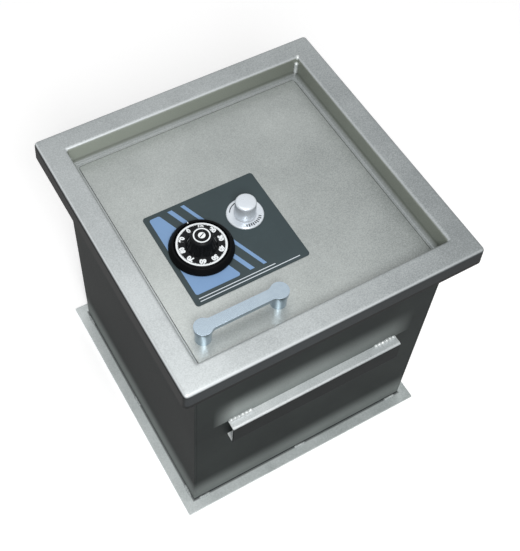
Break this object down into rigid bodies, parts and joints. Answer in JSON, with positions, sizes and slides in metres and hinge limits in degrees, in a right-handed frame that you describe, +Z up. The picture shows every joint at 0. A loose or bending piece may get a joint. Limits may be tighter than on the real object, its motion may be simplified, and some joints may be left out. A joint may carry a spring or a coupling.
{
  "type": "floor safe",
  "caption": "Square steel floor safe with a recessed lift-out lid, combination dial, opening knob, lift handle, locking bolts and anchor bars.",
  "frame": {"origin": "centre of the base plate's underside", "axes": "+Z up, out of the lid; -Y towards the front, the side with the lift handle; +X to the right seen from the front"},
  "size_m": [0.4, 0.4, 0.406],
  "materials": {
    "galvanised_steel": "zinc coated sheet, dull",
    "wall_steel": "dull rolled steel plate",
    "frame_steel": "satin coated sheet",
    "rail_steel": "milled bar",
    "seal_rubber": "matt",
    "lid_steel": "satin coated plate",
    "label_enamel": "dark grey enamel with pale blue bands",
    "chrome": "polished",
    "zinc_plated_steel": "bright zinc plate",
    "dial_black": "gloss black with white figures",
    "knob_silver": "satin anodised",
    "brass": "machined",
    "lock_casting": "die cast",
    "turned_steel": "turned and ground"
  },
  "bodies": {
    "safe": {"base_plate": "galvanised_steel", "wall_left": "wall_steel", "wall_right": "wall_steel", "wall_front": "wall_steel", "wall_back": "wall_steel", "base_welds": "galvanised_steel", "frame_front": "frame_steel", "frame_back": "frame_steel", "frame_left": "frame_steel", "frame_right": "frame_steel", "anchor_bar_front": "galvanised_steel", "anchor_bar_back": "galvanised_steel", "anchor_bar_welds": "galvanised_steel", "seat_rail_front": "rail_steel", "seat_rail_back": "rail_steel", "seat_rail_left": "rail_steel", "seat_rail_right": "rail_steel", "lid_seal": "seal_rubber"},
    "lid": {"lid_plate": "lid_steel", "label_plate": "label_enamel", "handle": "chrome", "handle_screws": "zinc_plated_steel", "dial_ring": "dial_black", "knob_escutcheon": "knob_silver", "spindle_bush": "brass", "guide_bar_front": "rail_steel", "guide_bar_back": "rail_steel", "guide_bar_screws": "zinc_plated_steel", "hard_plate": "rail_steel", "lock_case": "lock_casting", "lock_cover": "lock_casting", "lock_screws": "zinc_plated_steel", "wheel_post": "brass"},
    "dial": {"dial": "dial_black", "dial_spindle": "turned_steel", "drive_cam": "brass"},
    "wheel_1": {"wheel_1": "brass"},
    "wheel_2": {"wheel_2": "brass"},
    "wheel_3": {"wheel_3": "brass"},
    "knob": {"open_knob": "knob_silver", "knob_spindle": "turned_steel", "scroll_cam": "turned_steel", "cam_nut": "zinc_plated_steel"},
    "front_bolts": {"cam_arm_front": "rail_steel", "cross_bar_front": "rail_steel", "bolts_front": "turned_steel", "bolt_nuts_front": "zinc_plated_steel", "follower_pin_front": "turned_steel"},
    "back_bolts": {"cam_arm_back": "rail_steel", "cross_bar_back": "rail_steel", "bolts_back": "turned_steel", "bolt_nuts_back": "zinc_plated_steel", "follower_pin_back": "turned_steel"},
    "lock_bolt": {"lock_bolt": "turned_steel", "lever_pin": "turned_steel"},
    "lever": {"lever": "brass", "fence_pin": "turned_steel"}
  },
  "joints": [
    {"name": "lid_lift", "type": "slide", "parent": "safe", "child": "lid", "axis": [0, 0, 1], "range_m": [0, 0.15]},
    {"name": "dial_turn", "type": "hinge", "parent": "lid", "child": "dial", "pos_m": [-0.0825, -0.0235, 0.376], "axis": [0, 0, 1], "continuous": true},
    {"name": "wheel_1_turn", "type": "hinge", "parent": "lid", "child": "wheel_1", "pos_m": [-0.0825, -0.0235, 0.3548], "axis": [0, 0, 1], "continuous": true},
    {"name": "wheel_2_turn", "type": "hinge", "parent": "lid", "child": "wheel_2", "pos_m": [-0.0825, -0.0235, 0.3512], "axis": [0, 0, 1], "continuous": true},
    {"name": "wheel_3_turn", "type": "hinge", "parent": "lid", "child": "wheel_3", "pos_m": [-0.0825, -0.0235, 0.3478], "axis": [0, 0, 1], "continuous": true},
    {"name": "knob_turn", "type": "hinge", "parent": "lid", "child": "knob", "pos_m": [-0.0115, -0.0045, 0.376], "axis": [0, 0, 1], "range_deg": [0, 90]},
    {"name": "front_throw", "type": "slide", "parent": "lid", "child": "front_bolts", "axis": [0, -1, 0], "range_m": [0, 0.016]},
    {"name": "back_throw", "type": "slide", "parent": "lid", "child": "back_bolts", "axis": [0, 1, 0], "range_m": [0, 0.016]},
    {"name": "lock_bolt_throw", "type": "slide", "parent": "lid", "child": "lock_bolt", "axis": [1, 0, 0], "range_m": [0, 0.0065]},
    {"name": "lever_lift", "type": "hinge", "parent": "lock_bolt", "child": "lever", "pos_m": [-0.046, -0.0175, 0.3428], "axis": [0, 0, 1], "range_deg": [-6, 0]}
  ],
  "couplings": [
    {"joint": "wheel_1_turn", "follows": "dial_turn", "ratio": 1},
    {"joint": "wheel_2_turn", "follows": "dial_turn", "ratio": 1},
    {"joint": "wheel_3_turn", "follows": "dial_turn", "ratio": 1},
    {"joint": "front_throw", "follows": "knob_turn", "m_per_rad": 0.010186},
    {"joint": "back_throw", "follows": "knob_turn", "m_per_rad": 0.010186}
  ]
}
